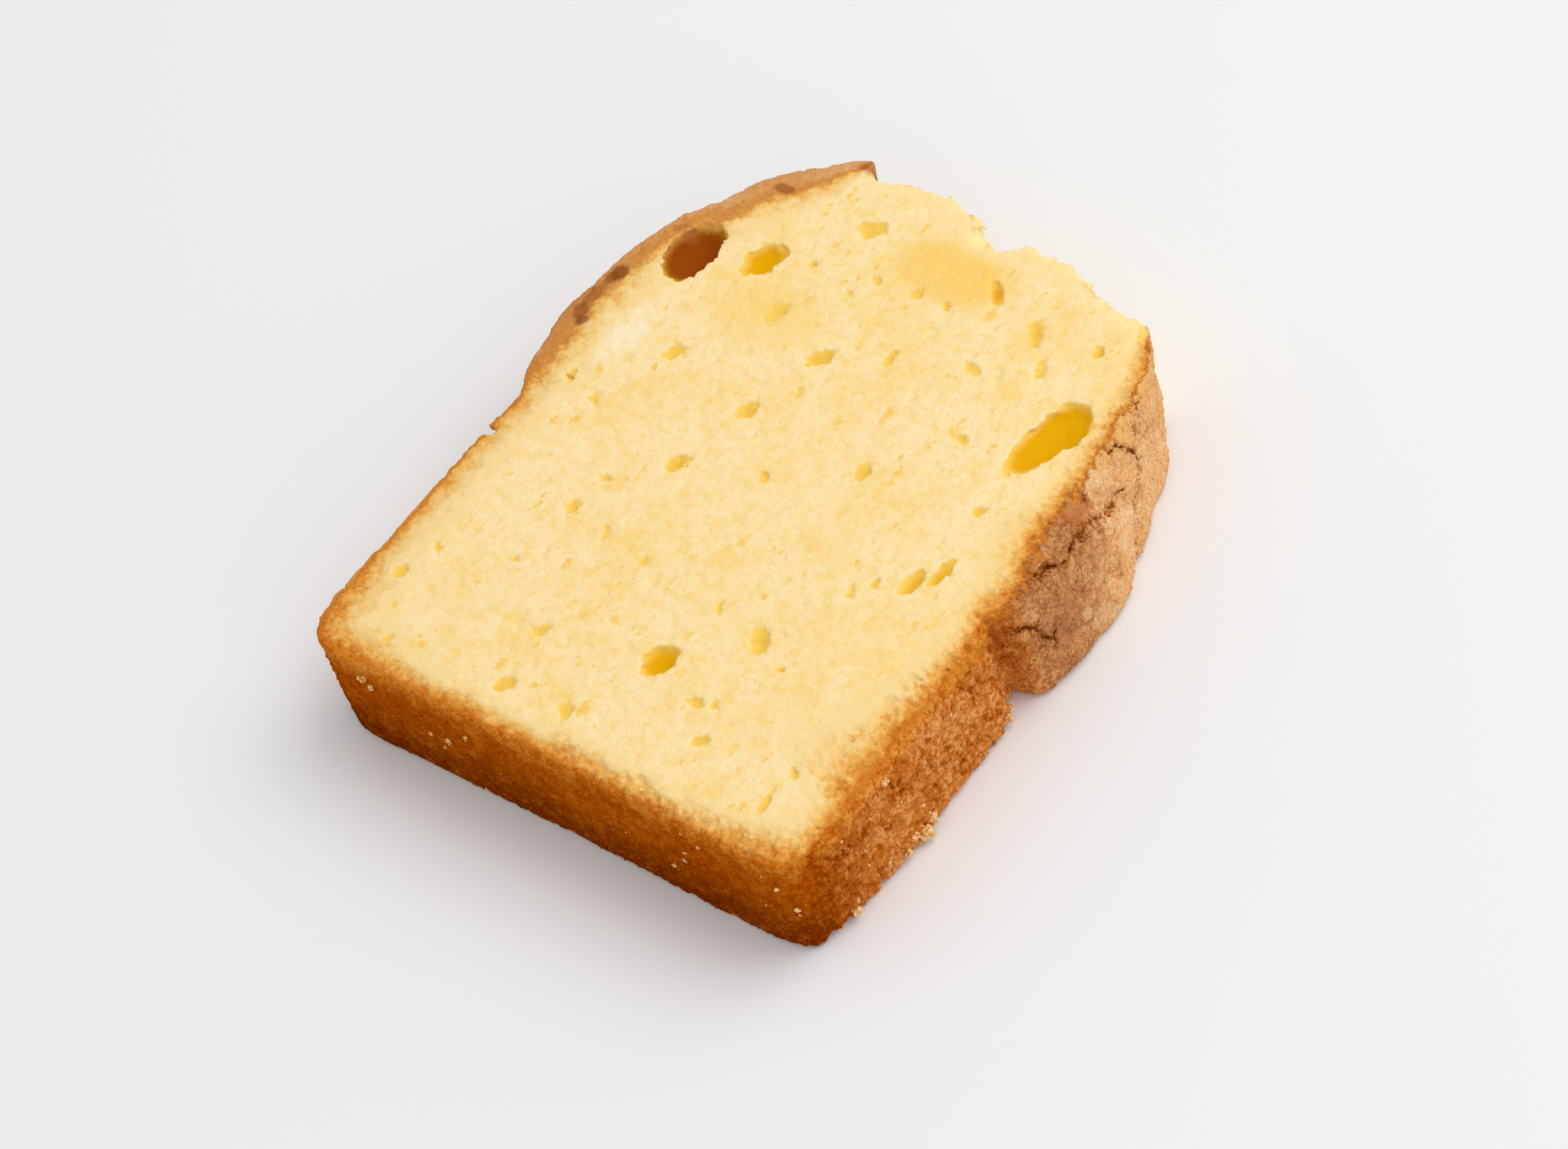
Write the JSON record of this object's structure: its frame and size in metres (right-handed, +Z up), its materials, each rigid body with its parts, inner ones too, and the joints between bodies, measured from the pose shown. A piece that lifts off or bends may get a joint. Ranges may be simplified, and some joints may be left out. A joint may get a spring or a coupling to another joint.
{
  "type": "pound_cake_slice",
  "caption": "Thick slice of plain pound cake with a browned crust and a cracked, torn crown, lying on one cut face.",
  "frame": {"origin": "on the floor, under the middle of the slice's bounding box", "axes": "+X across the loaf to the slice's right side, +Y from the loaf's base crust to its cracked crown, +Z up through the slice's thickness, out of the front cut face"},
  "size_m": [0.085, 0.0974, 0.0173],
  "materials": {
    "crumb": "pale yellow open crumb inside a thin golden to brown baked crust, dull and slightly moist"
  },
  "bodies": {
    "root": {"cake_slice": "crumb"}
  },
  "joints": []
}
